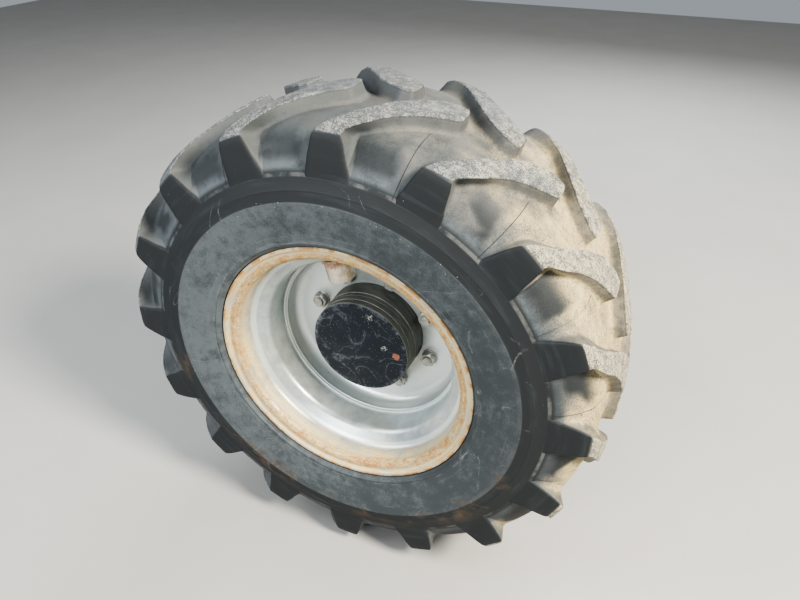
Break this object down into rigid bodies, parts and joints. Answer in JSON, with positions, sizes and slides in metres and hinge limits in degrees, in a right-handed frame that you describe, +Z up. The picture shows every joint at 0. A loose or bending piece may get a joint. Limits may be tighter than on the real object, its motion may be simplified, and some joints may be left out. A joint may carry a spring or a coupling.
{
  "type": "site dumper wheel end",
  "caption": "Wheel end of a site dumper: lugged off-road tyre on a dished steel wheel, turning on a hub and a bolted axle arm.",
  "frame": {"origin": "centre of the bolted face at the inner end of the axle arm", "axes": "+Z up, Y along the axle with the wheel's outer face towards -Y, +X towards the machine's front"},
  "size_m": [1.0748, 0.501, 1.0748],
  "materials": {
    "arm_casting": "dark paint over a rough casting, dusty",
    "machined_steel": "turned steel with a light oil film",
    "fastener_steel": "dull zinc with dust",
    "seal_rubber": "matt black",
    "hub_paint": "blue-black gloss paint, scuffed and chipped",
    "wheel_paint": "silver-grey paint with tan dust and rust streaks",
    "bare_steel": "bright steel, heat marks and rust at the weld",
    "valve_brass": "dull brass",
    "cap_plastic": "matt black plastic",
    "tyre_rubber": "weathered rubber, worn pale tread faces"
  },
  "bodies": {
    "axle_end": {"axle_arm": "arm_casting", "spindle": "machined_steel", "spindle_bolts": "fastener_steel"},
    "wheel": {"hub_seal": "seal_rubber", "hub_housing": "hub_paint", "hub_end_cover": "hub_paint", "wheel_studs": "fastener_steel", "nut_washers": "fastener_steel", "wheel_nuts": "fastener_steel", "wheel_disc": "wheel_paint", "rim_barrel": "wheel_paint", "valve_guard": "bare_steel", "valve_stem": "valve_brass", "valve_cap": "cap_plastic", "tyre": "tyre_rubber"}
  },
  "joints": [
    {"name": "wheel_spin", "type": "hinge", "parent": "axle_end", "child": "wheel", "pos_m": [0, -0.3, 0], "axis": [0, 1, 0], "continuous": true}
  ]
}
